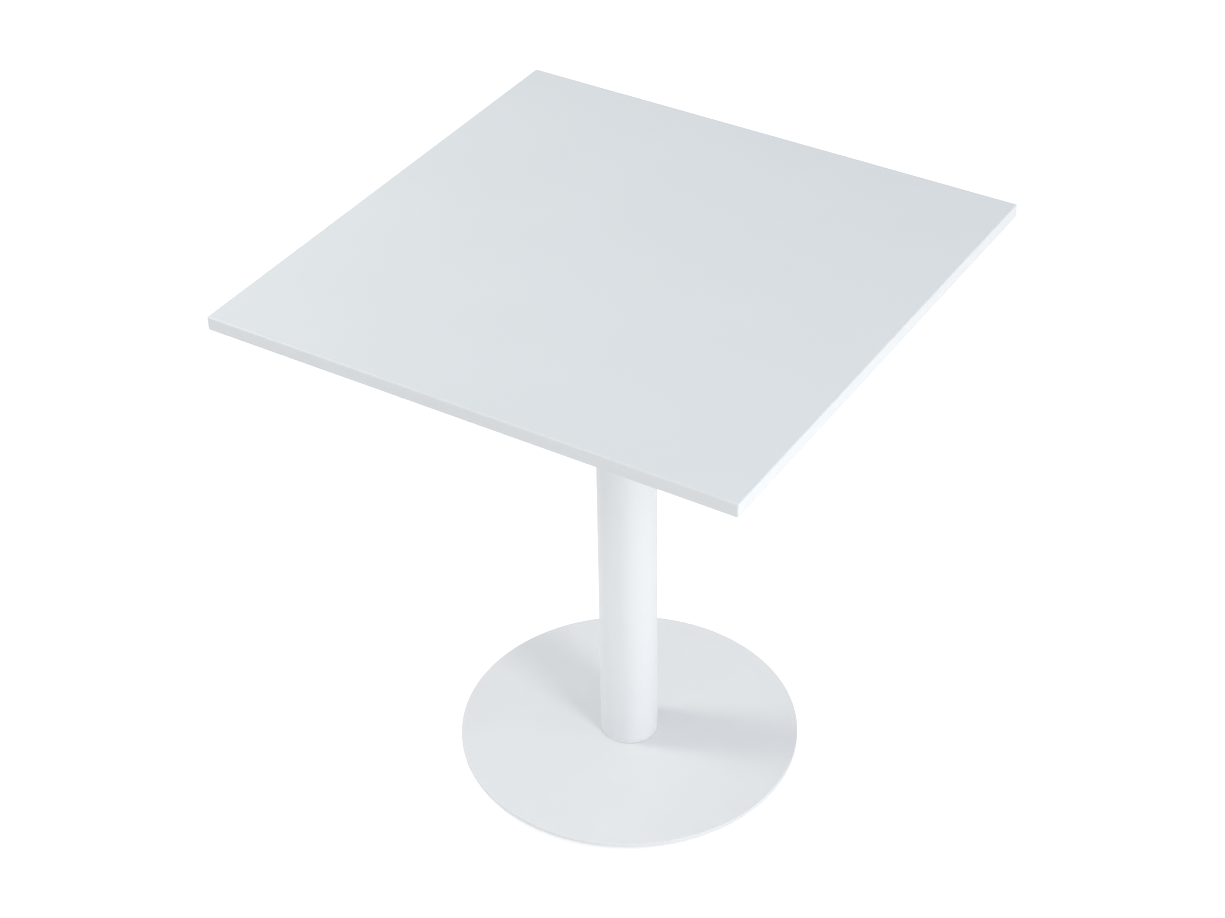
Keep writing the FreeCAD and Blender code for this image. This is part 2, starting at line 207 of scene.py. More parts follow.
def shoulder_rib(inner, outer, rim, low, high):
    """A low moulded rib lying down a shoulder that falls from the inner radius to the rim."""
    half, proud, sunk, tip = 0.45 * MM, 0.35 * MM, 0.4 * MM, 0.05 * MM
    run_in, run_on, run_out = 0.6 * MM, 1.6 * MM, 0.8 * MM
    slope = (high - low) / (rim - inner)
    bm = bmesh.new()
    ends = []
    for radius, rise in ((inner + run_in, tip), (inner + run_on, proud),
                         (outer - run_out, proud), (outer, tip)):
        surface = high - slope * (radius - inner)
        ends.append([bm.verts.new((radius, side * width, surface + lift))
                     for side, width, lift in ((-1, half * 1.4, -sunk), (-1, half, rise * 0.6),
                                               (-1, half * 0.5, rise), (1, half * 0.5, rise),
                                               (1, half, rise * 0.6), (1, half * 1.4, -sunk))])
    return stack(bm, ends)


def seal(bm):
    """Close open edges and turn every face outwards."""
    bmesh.ops.holes_fill(bm, edges=[edge for edge in bm.edges if edge.is_boundary])
    bmesh.ops.recalc_face_normals(bm, faces=bm.faces)


def keep_side(bm, point, outward):
    """Cut a solid by a plane, drop what lies beyond it and close the cut."""
    bmesh.ops.bisect_plane(bm, geom=bm.verts[:] + bm.edges[:] + bm.faces[:], plane_co=point,
                           plane_no=outward, clear_outer=True)
    seal(bm)


def add_object(name, bm):
    mesh = bpy.data.meshes.new(name)
    bm.to_mesh(mesh)
    bm.free()
    made = bpy.data.objects.new(name, mesh)
    bpy.context.scene.collection.objects.link(made)
    return made


def settle(made):
    """Turn what an object's modifiers give into its plain mesh, and drop the modifiers."""
    graph = bpy.context.evaluated_depsgraph_get()
    old = made.data
    made.data = bpy.data.meshes.new_from_object(made.evaluated_get(graph), depsgraph=graph)
    made.modifiers.clear()
    bpy.data.meshes.remove(old)
    made.data.name = made.name
    return made


def close_up(made):
    """Close the pinholes that a cut or a join can leave, and turn every face outwards."""
    bm = bmesh.new()
    bm.from_mesh(made.data)
    bmesh.ops.remove_doubles(bm, verts=bm.verts, dist=0.2 * MICRON)
    seal(bm)
    bm.to_mesh(made.data)
    bm.free()
    return made


def combine(made, operation, others):
    """Take other solids away from an object, join them to it or trim it by them, and remove them."""
    for other in others:
        step = made.modifiers.new("combine", "BOOLEAN")
        step.operation = operation
        step.solver = "EXACT"
        step.object = other
    settle(made)
    drop(*others)
    return close_up(made)


def carve(made, cutters):
    return combine(made, "DIFFERENCE", cutters)


def drop(*objects):
    """Take away the blanks and cutters that a piece was made with."""
    for item in objects:
        bpy.data.objects.remove(item)


def ring_places(count, radius, start_degrees=0.0):
    """Places evenly round the column's axis."""
    angles = [math.radians(start_degrees) + TURN * step / count for step in range(count)]
    return [(radius * math.cos(angle), radius * math.sin(angle)) for angle in angles]


def hole_cutter(radius, bottom, top, place, segments=36, spare=MM):
    """A round cutter at a place, reaching past both faces by the spare length."""
    outline = [(0, bottom - spare), (radius, bottom - spare), (radius, top + spare), (0, top + spare)]
    return add_object("cutter", lathe(outline, segments, place))


def sink_cutter(face, far, place):
    """A countersunk hole from one face of a plate to the far one."""
    sink, hole = 8.0 * MM, 4.5 * MM
    inwards = math.copysign(1.0, far - face)
    outline = [(0, face - inwards * MM), (sink, face - inwards * MM), (sink, face),
               (hole, face + inwards * (sink - hole)), (hole, far + inwards * MM), (0, far + inwards * MM)]
    return add_object("cutter", lathe(outline, 60, place))


def smooth(made, sharp_degrees):
    """Smooth shading that keeps large flats flat and corners crisp."""
    made.data.shade_smooth()
    made.data.set_sharp_from_angle(angle=math.radians(sharp_degrees))
    weighted = made.modifiers.new("flats", "WEIGHTED_NORMAL")
    weighted.mode = "FACE_AREA"
    weighted.weight = 80
    weighted.keep_sharp = True
    settle(made)


def move_to(made, node):
    """Move a piece's mesh to where a node stands in plan."""
    low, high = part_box(node)
    middle = (low + high) / 2
    made.data.transform(Matrix.Translation((middle.x, middle.y, 0)))


def screw_blank(outline, segments, across_flats, depth):
    """A turned blank, head down, with a hexagon socket sunk into its head."""
    blank = add_object("screw_blank", lathe(outline, segments))
    return carve(blank, [add_object("socket", hexagon(across_flats, -MM, depth))])


def dress(made, node):
    """Give an object the finish of a node's slot."""
    made.data.materials.clear()
    made.data.materials.append(finishes[SLOTS[node]])


def finish_piece(made, node, body="table", sharp_degrees=32):
    """Smooth and dress a piece, hang it on the empty of the body it rides on, and hide the node it stands
    for.
    """
    smooth(made, sharp_degrees)
    dress(made, node)
    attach(made, body)
    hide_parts(node)


# ------------------------ node trees

def put(tree, kind, inputs=None, **settings):
    """Add a node, set its settings, and give its inputs values or link them to sockets."""
    made = tree.nodes.new(kind)
    for name, value in settings.items():
        setattr(made, name, value)
    for name, value in (inputs or {}).items():
        if isinstance(value, bpy.types.NodeSocket):
            tree.links.new(value, made.inputs[name])
        else:
            made.inputs[name].default_value = value
    return made


def arithmetic(tree, operation, *values):
    return put(tree, "ShaderNodeMath", dict(enumerate(values)), operation=operation).outputs[0]


def arrange(tree):
    """Lay a tree's nodes out in columns, each to the right of what feeds it."""
    depth = {}

    def column(item):
        if item.name not in depth:
            depth[item.name] = 0
            feeders = [link.from_node for socket in item.inputs for link in socket.links]
            depth[item.name] = 1 + max((column(feeder) for feeder in feeders), default=-1)
        return depth[item.name]

    rows = {}
    for item in tree.nodes:
        place = column(item)
        rows[place] = rows.get(place, 0) + 1
        item.location = (place * 240, -rows[place] * 220)


def new_tree(name, kind, inputs, outputs):
    """A node group with named sockets. Each input is (name, type, value or None)."""
    tree = bpy.data.node_groups.new(name, kind)
    for label, sort, value in inputs:
        socket = tree.interface.new_socket(name=label, in_out="INPUT", socket_type=f"NodeSocket{sort}")
        if value is not None:
            socket.default_value = value
    for label, sort in outputs:
        tree.interface.new_socket(name=label, in_out="OUTPUT", socket_type=f"NodeSocket{sort}")
    return tree, tree.nodes.new("NodeGroupInput"), tree.nodes.new("NodeGroupOutput")


def geometry_tree(name, *inputs):
    """A geometry tree with its own inputs, and a finish for what it makes."""
    return new_tree(name, "GeometryNodeTree", (*inputs, ("Finish", "Material", None)),
                    (("Geometry", "Geometry"),))


def grow(name, kind, node, **values):
    """An object made by the geometry tree of that kind, in the finish of the node it belongs to.

    An underscore in an input stands for a space."""
    tree = bpy.data.node_groups[kind]
    values = {label.replace("_", " "): value for label, value in values.items()}
    values["Finish"] = finishes[SLOTS[node]]
    made = add_object(name, bmesh.new())
    modifier = made.modifiers.new(kind, "NODES")
    modifier.node_group = tree
    for item in tree.interface.items_tree:
        if item.item_type == "SOCKET" and item.in_out == "INPUT" and item.name in values:
            modifier[item.identifier] = values[item.name]
    return close_up(settle(made))


# ------------------------ camera, floor and light

CAMERA_PLACE = (31.893, 36.555)
CAMERA_DISTANCE = 3.1339
CAMERA_ROLL = 0.8428
CAMERA_TARGET = Vector((-0.0184, 0.0, 0.4489))
CAMERA_LENS = 74.1
CAMERA_SHIFT = (-0.00116, 0.00146)


def direction(azimuth, elevation):
    """From the table towards a place, given in degrees."""
    azimuth, elevation = math.radians(azimuth), math.radians(elevation)
    return Vector((math.sin(azimuth) * math.cos(elevation), -math.cos(azimuth) * math.cos(elevation),
                   math.sin(elevation)))


def make_camera():
    back = direction(*CAMERA_PLACE)
    right = Vector((0, 0, 1)).cross(back).normalized()
    turn = Matrix.Rotation(math.radians(-CAMERA_ROLL), 3, back)
    right = turn @ right
    up = back.cross(right)
    data = bpy.data.cameras.new("camera")
    data.lens = CAMERA_LENS
    data.shift_x, data.shift_y = CAMERA_SHIFT
    data.clip_end = 50
    camera = bpy.data.objects.new("camera", data)
    camera.matrix_world = Matrix.Translation(CAMERA_TARGET + back * CAMERA_DISTANCE) @ Matrix(
        (right, up, back)).transposed().to_4x4()
    bpy.context.scene.collection.objects.link(camera)
    bpy.context.scene.camera = camera


# each soft light: name, direction it comes from (azimuth, elevation), distance, size, power
LIGHTS = (
    ("right_level", 70, 4, 3.0, 0.8, 11.0),
    ("right_low", 70, 15, 3.0, 0.8, 8.0),
    ("right_high", 70, 45, 3.0, 0.8, 13.3),
    ("right_rim", 105, 12, 3.0, 1.0, 6.5),
    ("left_level", -68, 4, 3.0, 0.8, 7.8),
    ("left_high", -68, 45, 2.3, 0.61, 12.5),
    ("overhead", 0, 90, 2.6, 2.0, 2.2),
)
LIGHT_TARGET = Vector((0, 0, 0.4))
LEFT_TINT = (1.0, 0.97, 0.88)
RIGHT_TINT = (1.0, 0.99, 0.975)
SKY_TINT = (0.993, 1.0, 1.025, 1.0)
SKY_STRENGTH = 0.645
FLOOR_GLOW = 0.54


def make_light(name, azimuth, elevation, distance, size, power):
    away = direction(azimuth, elevation)
    data = bpy.data.lights.new(name, "AREA")
    data.shape = "DISK"
    data.size = size
    data.energy = power
    data.color = LEFT_TINT if away.x < 0 else RIGHT_TINT
    lamp = bpy.data.objects.new(name, data)
    lamp.matrix_world = Matrix.Translation(LIGHT_TARGET + away * distance) @ \
        away.to_track_quat("Z", "Y").to_matrix().to_4x4()
    lamp.visible_camera = False
    bpy.context.scene.collection.objects.link(lamp)


def make_floor():
    """A plain white floor, which glows a little where the camera sees it directly."""
    bm = bmesh.new()
    bmesh.ops.create_grid(bm, x_segments=1, y_segments=1, size=30.0)
    floor = add_object("floor", bm)
    material, tree = new_material("floor_white", {
        "Base Color": (0.93, 0.93, 0.93, 1.0), "Roughness": 0.9, "Emission Color": (1, 1, 1, 1)})
    seen = put(tree, "ShaderNodeLightPath").outputs["Is Camera Ray"]
    shader = tree.nodes["Principled BSDF"]
    tree.links.new(arithmetic(tree, "MULTIPLY", seen, FLOOR_GLOW), shader.inputs["Emission Strength"])
    arrange(tree)
    floor.data.materials.append(material)


def make_studio():
    world = bpy.data.worlds.new("studio")
    world.use_nodes = True
    background = world.node_tree.nodes["Background"]
    background.inputs["Color"].default_value = SKY_TINT
    background.inputs["Strength"].default_value = SKY_STRENGTH
    bpy.context.scene.world = world
    bpy.context.scene.view_settings.view_transform = "Standard"
    for light in LIGHTS:
        make_light(*light)
    make_floor()


# ------------------------ geometry trees

def lifted(tree, geometry, height):
    """Geometry moved up by a height."""
    lift = put(tree, "ShaderNodeCombineXYZ", {"Z": height}).outputs[0]
    return put(tree, "GeometryNodeTransform", {"Geometry": geometry, "Translation": lift}).outputs[0]


def copied(tree, points, piece, **angles):
    """A copy of an object at each point, turned by the given angles."""
    turned = put(tree, "FunctionNodeEulerToRotation", {
        0: put(tree, "ShaderNodeCombineXYZ", angles).outputs[0]})
    source = put(tree, "GeometryNodeObjectInfo", {"Object": piece, "As Instance": True})
    return put(tree, "GeometryNodeInstanceOnPoints", {
        "Points": points, "Instance": source.outputs["Geometry"], "Rotation": turned.outputs[0]}).outputs[0]


def end_tree(tree, geometry, given, result):
    """Every tree ends the same way: real geometry in one finish."""
    whole = put(tree, "GeometryNodeRealizeInstances", {"Geometry": geometry})
    finished = put(tree, "GeometryNodeSetMaterial", {"Geometry": whole.outputs[0],
                                                     "Material": given.outputs["Finish"]})
    tree.links.new(finished.outputs[0], result.inputs[0])
    arrange(tree)


def end_fused(tree, added, given, result):
    """End a tree with one solid of its blank and what is added to it, with nothing left inside."""
    blank = put(tree, "GeometryNodeObjectInfo", {"Object": given.outputs["Blank"]}).outputs["Geometry"]
    real = put(tree, "GeometryNodeRealizeInstances", {"Geometry": added})
    union = put(tree, "GeometryNodeMeshBoolean", {"Mesh 2": blank, "Self Intersection": True},
                operation="UNION", solver="EXACT")
    tree.links.new(real.outputs[0], union.inputs["Mesh 2"])
    end_tree(tree, union.outputs[0], given, result)


COPY_INPUTS = (("Piece", "Object", None), ("Height", "Float", 0.0), ("Tip Over", "Float", 0.0),
               ("Seed", "Int", 1))


def end_copies(tree, points, given, result):
    """End a tree with a copy of its piece at each point, fed from the sockets that have the same names."""
    inputs = {label: given.outputs[label] for label, *_ in COPY_INPUTS}
    inputs["Finish"] = given.outputs["Finish"]
    inputs["Points"] = points
    copies = put(tree, "GeometryNodeGroup", inputs, node_tree=bpy.data.node_groups["place_copies"])
    end_tree(tree, copies.outputs[0], given, result)


def tree_copies():
    """Copies of a piece at given points, each spun by chance about its own upright axis."""
    tree, given, result = geometry_tree("place_copies", ("Points", "Geometry", None), *COPY_INPUTS)
    raised = lifted(tree, given.outputs["Points"], given.outputs["Height"])
    spin = put(tree, "FunctionNodeRandomValue", {2: 0.0, 3: TURN, "Seed": given.outputs["Seed"]})
    copies = copied(tree, raised, given.outputs["Piece"], X=given.outputs["Tip Over"], Z=spin.outputs[1])
    end_tree(tree, copies, given, result)


def tree_ring():
    """Copies of a piece evenly round the column's axis."""
    tree, given, result = geometry_tree(
        "copies_on_ring",
        ("Count", "Int", 4),
        ("Ring Radius", "Float", SCREW_RING),
        ("Start Angle", "Float", 0.0),
        *COPY_INPUTS)
    ring = put(tree, "GeometryNodeMeshCircle", {"Vertices": given.outputs["Count"],
                                                "Radius": given.outputs["Ring Radius"]})
    start = put(tree, "ShaderNodeCombineXYZ", {"Z": given.outputs["Start Angle"]})
    turned = put(tree, "GeometryNodeTransform", {"Geometry": ring.outputs[0], "Rotation": start.outputs[0]})
    end_copies(tree, turned.outputs[0], given, result)


def tree_square():
    """Copies of a piece at the corners and the middles of the sides of a square."""
    tree, given, result = geometry_tree("copies_on_square", ("Spacing", "Float", FIXING_SPACING),
                                        *COPY_INPUTS)
    width = arithmetic(tree, "MULTIPLY", given.outputs["Spacing"], 2.0)
    grid = put(tree, "GeometryNodeMeshGrid", {"Size X": width, "Size Y": width,
                                              "Vertices X": 3, "Vertices Y": 3})
    reach = put(tree, "ShaderNodeVectorMath", {0: put(tree, "GeometryNodeInputPosition").outputs[0]},
                operation="LENGTH")
    middle = arithmetic(tree, "LESS_THAN", reach.outputs["Value"], MM)
    open_grid = put(tree, "GeometryNodeDeleteGeometry", {"Geometry": grid.outputs[0], "Selection": middle})
    end_copies(tree, open_grid.outputs[0], given, result)


def tree_thread():
    """A blank with a right-hand thread wound round its core, fading out at both ends."""
    tree, given, result = geometry_tree(
        "wound_thread",
        ("Blank", "Object", None),
        ("Core Radius", "Float", 3.3 * MM),
        ("Thread Depth", "Float", M8_DEPTH),
        ("Pitch", "Float", M8_PITCH),
        ("Start", "Float", 0.0),
        ("Turns", "Float", 5.0))
    rise = arithmetic(tree, "MULTIPLY", given.outputs["Pitch"], given.outputs["Turns"])
    root = arithmetic(tree, "SUBTRACT", given.outputs["Core Radius"], THREAD_ROOT)
    helix = put(tree, "GeometryNodeCurveSpiral", {
        "Resolution": THREAD_STEPS, "Rotations": given.outputs["Turns"], "Start Radius": root,
        "End Radius": root, "Height": rise, "Reverse": True})
    upright = put(tree, "GeometryNodeSetCurveNormal", {"Curve": helix.outputs[0]}, mode="Z_UP")
    raised = lifted(tree, upright.outputs[0], given.outputs["Start"])
    flank = arithmetic(tree, "MULTIPLY", given.outputs["Pitch"], THREAD_FLANK)
    width = arithmetic(tree, "MULTIPLY_ADD", given.outputs["Thread Depth"], 2.0, 2 * THREAD_ROOT)
    profile = put(tree, "GeometryNodeCurvePrimitiveQuadrilateral", {
        "Width": width, "Bottom Height": flank, "Top Height": flank}, mode="KITE")
    along = put(tree, "GeometryNodeSplineParameter").outputs["Factor"]
    from_end = arithmetic(tree, "MINIMUM", along, arithmetic(tree, "SUBTRACT", 1.0, along))
    fade = arithmetic(tree, "MINIMUM", arithmetic(tree, "MULTIPLY_ADD", from_end, 16.0, 0.06), 1.0)
    ridge = put(tree, "GeometryNodeCurveToMesh", {
        "Curve": raised, "Profile Curve": profile.outputs[0], "Scale": fade, "Fill Caps": True})
    end_fused(tree, ridge.outputs[0], given, result)


def tree_weld():
    """A blank with a fillet weld round it: overlapping beads of slightly uneven size."""
    tree, given, result = geometry_tree(
        "welded_round",
        ("Blank", "Object", None),
        ("Weld Radius", "Float", 8.4 * MM),
        ("Height", "Float", 0.0),
        ("Bead Size", "Float", 1.3 * MM),
        ("Beads", "Int", 34),
        ("Seed", "Int", 1))
    ring = put(tree, "GeometryNodeMeshCircle", {"Vertices": given.outputs["Beads"],
                                                "Radius": given.outputs["Weld Radius"]})
    raised = lifted(tree, ring.outputs[0], given.outputs["Height"])
    bead = put(tree, "GeometryNodeMeshIcoSphere", {"Radius": given.outputs["Bead Size"], "Subdivisions": 2})
    uneven = put(tree, "FunctionNodeRandomValue", {2: 0.88, 3: 1.1, "Seed": given.outputs["Seed"]})
    beads = put(tree, "GeometryNodeInstanceOnPoints", {
        "Points": raised, "Instance": bead.outputs[0], "Scale": uneven.outputs[1]})
    end_fused(tree, beads.outputs[0], given, result)


def tree_ribs():
    """A turned pad with moulded ribs standing round its shoulder."""
    tree, given, result = geometry_tree(
        "ribbed_shoulder",
        ("Blank", "Object", None),
        ("Rib", "Object", None),
        ("Count", "Int", 12))
    ring = put(tree, "GeometryNodeMeshCircle", {"Vertices": given.outputs["Count"], "Radius": MM})
    place = put(tree, "ShaderNodeSeparateXYZ", {0: put(tree, "GeometryNodeInputPosition").outputs[0]})
    heading = arithmetic(tree, "ARCTAN2", place.outputs["Y"], place.outputs["X"])
    end_fused(tree, copied(tree, ring.outputs[0], given.outputs["Rib"], Z=heading), given, result)


# ------------------------ shader groups

def object_place(tree, stretch=(1.0, 1.0, 1.0), turn=0.0):
    """Places on the piece in metres, stretched and turned about the upright axis."""
    coordinates = put(tree, "ShaderNodeTexCoord").outputs["Object"]
    return put(tree, "ShaderNodeMapping", {"Vector": coordinates, "Scale": stretch,
                                           "Rotation": (0.0, 0.0, turn)}).outputs[0]


def scaled_by(tree, vector, size):
    """A vector counted in lengths of the given size."""
    per_metre = arithmetic(tree, "DIVIDE", 1.0, size)
    return put(tree, "ShaderNodeVectorMath", {0: vector, "Scale": per_metre}, operation="SCALE").outputs[0]


def noise(tree, vector, scale, detail):
    return put(tree, "ShaderNodeTexNoise", {"Vector": vector, "Scale": scale, "Detail": detail}).outputs[0]


def between(tree, value, low, high, new_low=0.0, new_high=1.0):
    """Move a value from one range to another, stopping at its ends."""
    return put(tree, "ShaderNodeMapRange", {"Value": value, "From Min": low, "From Max": high,
                                            "To Min": new_low, "To Max": new_high}).outputs[0]


def mixed(tree, mask, first, second):
    """A colour between two others."""
    return put(tree, "ShaderNodeMix", {0: mask, 6: first, 7: second}, data_type="RGBA").outputs[2]


def summed(tree, value, *shares):
    """A value with shares of masks added to it, each given as (mask, share)."""
    for mask, share in shares:
        value = arithmetic(tree, "MULTIPLY_ADD", mask, share, value)
    return value


def end_group(tree, result, **sockets):
    for name, socket in sockets.items():
        tree.links.new(socket, result.inputs[name])
    arrange(tree)


def group_grain():
    """Even lumps with finer ones on them: orange peel in a coating, or the face of a pressed sheet."""
    tree, given, result = new_tree("grain", "ShaderNodeTree", (
        ("Lump Size", "Float", 1.0 * MM),
        ("Fineness", "Float", 0.35),
    ), (("Height", "Float"), ("Speckle", "Float")))
    place = scaled_by(tree, object_place(tree), given.outputs["Lump Size"])
    lumps = noise(tree, place, 1.0, 0.0)
    fine = noise(tree, place, 4.3, 2.0)
    difference = arithmetic(tree, "SUBTRACT", fine, lumps)
    height = summed(tree, lumps, (difference, given.outputs["Fineness"]))
    end_group(tree, result, Height=height, Speckle=fine)


def group_clouds():
    """Slow, soft changes over a surface, such as handling leaves."""
    tree, given, result = new_tree("clouds", "ShaderNodeTree", (
        ("Cloud Size", "Float", 80.0 * MM),
    ), (("Value", "Float"),))
    place = scaled_by(tree, object_place(tree), given.outputs["Cloud Size"])
    end_group(tree, result, Value=between(tree, noise(tree, place, 1.0, 3.0), 0.3, 0.7))


def group_hairlines():
    """Short fine scratches in two directions, few and faint."""
    tree, given, result = new_tree("hairlines", "ShaderNodeTree", (
        ("Line Width", "Float", 0.3 * MM),
        ("Share", "Float", 0.3),
    ), (("Mask", "Float"),))
    edge = summed(tree, 0.78, (given.outputs["Share"], -0.18))
    layers = []
    for turn, stretch in ((0.5, 0.006), (2.1, 0.009)):
        place = scaled_by(tree, object_place(tree, (stretch, 1.0, 1.0), turn), given.outputs["Line Width"])
        layers.append(between(tree, noise(tree, place, 1.0, 1.0), edge,
                              arithmetic(tree, "ADD", edge, 0.06)))
    end_group(tree, result, Mask=arithmetic(tree, "MAXIMUM", *layers))


def group_edge_wear():
    """Marks the arrises of a piece, where the finish is rubbed, in uneven patches."""
    tree, given, result = new_tree("edge_wear", "ShaderNodeTree", (
        ("Width", "Float", 0.8 * MM),
        ("Patch Size", "Float", 12.0 * MM),
        ("Amount", "Float", 1.0),
    ), (("Mask", "Float"),))
    softened = put(tree, "ShaderNodeBevel", {"Radius": given.outputs["Width"]}, samples=6).outputs[0]
    facing = put(tree, "ShaderNodeNewGeometry").outputs["Normal"]
    alike = put(tree, "ShaderNodeVectorMath", {0: softened, 1: facing}, operation="DOT_PRODUCT")
    arris = between(tree, alike.outputs["Value"], 0.999, 0.93)
    place = scaled_by(tree, object_place(tree), given.outputs["Patch Size"])
    patches = between(tree, noise(tree, place, 1.0, 4.0), 0.35, 0.65, 0.25, 1.0)
    strength = arithmetic(tree, "MULTIPLY", patches, given.outputs["Amount"])
    end_group(tree, result, Mask=arithmetic(tree, "MULTIPLY", arris, strength))


def group_dust():
    """A few specks of dust on faces that look upwards."""
    tree, given, result = new_tree("dust", "ShaderNodeTree", (
        ("Speck Spacing", "Float", 9.0 * MM),
        ("Speck Size", "Float", 0.05),
        ("Amount", "Float", 0.5),
    ), (("Mask", "Float"),))
    place = scaled_by(tree, object_place(tree), given.outputs["Speck Spacing"])
    specks = put(tree, "ShaderNodeTexVoronoi", {"Vector": place, "Scale": 1.0})
    near = between(tree, specks.outputs["Distance"], given.outputs["Speck Size"], 0.0)
    facing = put(tree, "ShaderNodeSeparateXYZ", {
        0: put(tree, "ShaderNodeNewGeometry").outputs["Normal"]}).outputs["Z"]
    upward = between(tree, facing, 0.5, 0.9)
    mask = arithmetic(tree, "MULTIPLY", arithmetic(tree, "MULTIPLY", near, upward),
                      given.outputs["Amount"])
    end_group(tree, result, Mask=mask)


# ------------------------ materials

def new_material(name, values):
    """A material whose uniform values sit on the shader's own sockets."""
    material = bpy.data.materials.new(name)
    material.use_nodes = True
    shader = material.node_tree.nodes["Principled BSDF"]
    for socket, value in values.items():
        shader.inputs[socket].default_value = value
    return material, material.node_tree


def shade(color, factor):
    """A colour made lighter or darker."""
    return (*(channel * factor for channel in color), 1.0)


def use(tree, group, output, **values):
    """Place a shared group with this material's own values; an underscore stands for a space."""
    inputs = {name.replace("_", " "): value for name, value in values.items()}
    return put(tree, "ShaderNodeGroup", inputs, node_tree=bpy.data.node_groups[group]).outputs[output]


def finish_material(material, color, roughness, height, depth):
    """Feed the shader, with a surface that rises by up to a depth in metres."""
    tree = material.node_tree
    shader = tree.nodes["Principled BSDF"]
    bump = put(tree, "ShaderNodeBump", {"Strength": 1.0, "Distance": depth, "Height": height})
    tree.links.new(color, shader.inputs["Base Color"])
    tree.links.new(roughness, shader.inputs["Roughness"])
    tree.links.new(bump.outputs[0], shader.inputs["Normal"])
    arrange(tree)
    return material


def make_white_laminate():
    """Satin pressed laminate: a fine pearl texture, faint clouds, hairlines and a little dust."""
    white = (0.720, 0.760, 0.793)
    material, tree = new_material("satin_white_laminate", {"IOR": 1.5})
    cloud = use(tree, "clouds", "Value", Cloud_Size=150 * MM)
    speckle = use(tree, "grain", "Speckle", Lump_Size=0.8 * MM)
    height = use(tree, "grain", "Height", Lump_Size=0.55 * MM, Fineness=0.4)
    lines = use(tree, "hairlines", "Mask", Line_Width=0.22 * MM, Share=0.25)
    dust = use(tree, "dust", "Mask", Speck_Spacing=26 * MM, Speck_Size=0.016, Amount=0.35)
    color = mixed(tree, cloud, shade(white, 0.992), shade(white, 1.008))
    color = mixed(tree, between(tree, speckle, 0.3, 0.7, 0.0, 0.25), color, shade(white, 0.97))
    color = mixed(tree, dust, color, (0.55, 0.55, 0.54, 1.0))
    roughness = summed(tree, 0.375, (cloud, 0.05), (lines, 0.12))
    scored = summed(tree, height, (lines, -0.35))
    return finish_material(material, color, roughness, scored, 5 * MICRON)


def make_backing_laminate():
    """Matt balancing sheet: greyer, with a coarser face and scuffs from handling."""
    grey_white = (0.70, 0.72, 0.73)
    material, tree = new_material("matt_backing_sheet", {"IOR": 1.48})
    cloud = use(tree, "clouds", "Value", Cloud_Size=60 * MM)
    height = use(tree, "grain", "Height", Lump_Size=0.9 * MM, Fineness=0.6)
    lines = use(tree, "hairlines", "Mask", Line_Width=0.4 * MM, Share=0.7)
    color = mixed(tree, cloud, shade(grey_white, 0.96), shade(grey_white, 1.02))
    color = mixed(tree, arithmetic(tree, "MULTIPLY", lines, 0.3), color, shade(grey_white, 0.85))
    roughness = summed(tree, 0.5, (cloud, 0.1))
    return finish_material(material, color, roughness, height, 12 * MICRON)


def make_white_edging():
    """Plastic edging: lengthwise lines from extrusion, and arrises polished by the scraper."""
    white = (0.750, 0.780, 0.800)
    material, tree = new_material("satin_white_edging", {"IOR": 1.5})
    cloud = use(tree, "clouds", "Value", Cloud_Size=40 * MM)
    arris = use(tree, "edge_wear", "Mask", Width=1.2 * MM, Patch_Size=25 * MM, Amount=0.8)
    lines = noise(tree, object_place(tree, (25.0, 25.0, 4200.0)), 1.0, 2.0)
    grain = use(tree, "grain", "Height", Lump_Size=0.5 * MM, Fineness=0.5)
    color = mixed(tree, cloud, shade(white, 0.992), shade(white, 1.008))
    color = mixed(tree, arris, color, shade(white, 1.03))
    roughness = summed(tree, 0.39, (cloud, 0.05), (arris, -0.14))
    relief = summed(tree, grain, (lines, 0.6))
    return finish_material(material, color, roughness, relief, 5 * MICRON)


def make_particle_board():
    """Pressed wood chips, laid flat, of several shades."""
    material, tree = new_material("pressed_chips", {"IOR": 1.4})
    place = object_place(tree, (220.0, 320.0, 900.0))
    bent = put(tree, "ShaderNodeVectorMath", {
        0: place, 1: put(tree, "ShaderNodeTexNoise", {"Vector": place, "Scale": 0.7}).outputs["Color"]},
        operation="ADD").outputs[0]
    chips = put(tree, "ShaderNodeTexVoronoi", {"Vector": bent, "Scale": 1.0})
    tone = put(tree, "ShaderNodeSeparateXYZ", {0: chips.outputs["Color"]}).outputs["X"]
    fibres = noise(tree, object_place(tree, (300.0, 2600.0, 2600.0), 0.4), 1.0, 3.0)
    dark = mixed(tree, fibres, (0.22, 0.13, 0.06, 1.0), (0.36, 0.23, 0.12, 1.0))
    light = mixed(tree, fibres, (0.50, 0.35, 0.20, 1.0), (0.66, 0.50, 0.32, 1.0))
    color = mixed(tree, tone, dark, light)
    gaps = between(tree, chips.outputs["Distance"], 0.35, 0.75)
    color = mixed(tree, arithmetic(tree, "MULTIPLY", gaps, 0.6), color, (0.12, 0.07, 0.03, 1.0))
    roughness = summed(tree, 0.75, (fibres, 0.15))
    height = arithmetic(tree, "SUBTRACT", fibres, gaps)
    return finish_material(material, color, roughness, height, 120 * MICRON)


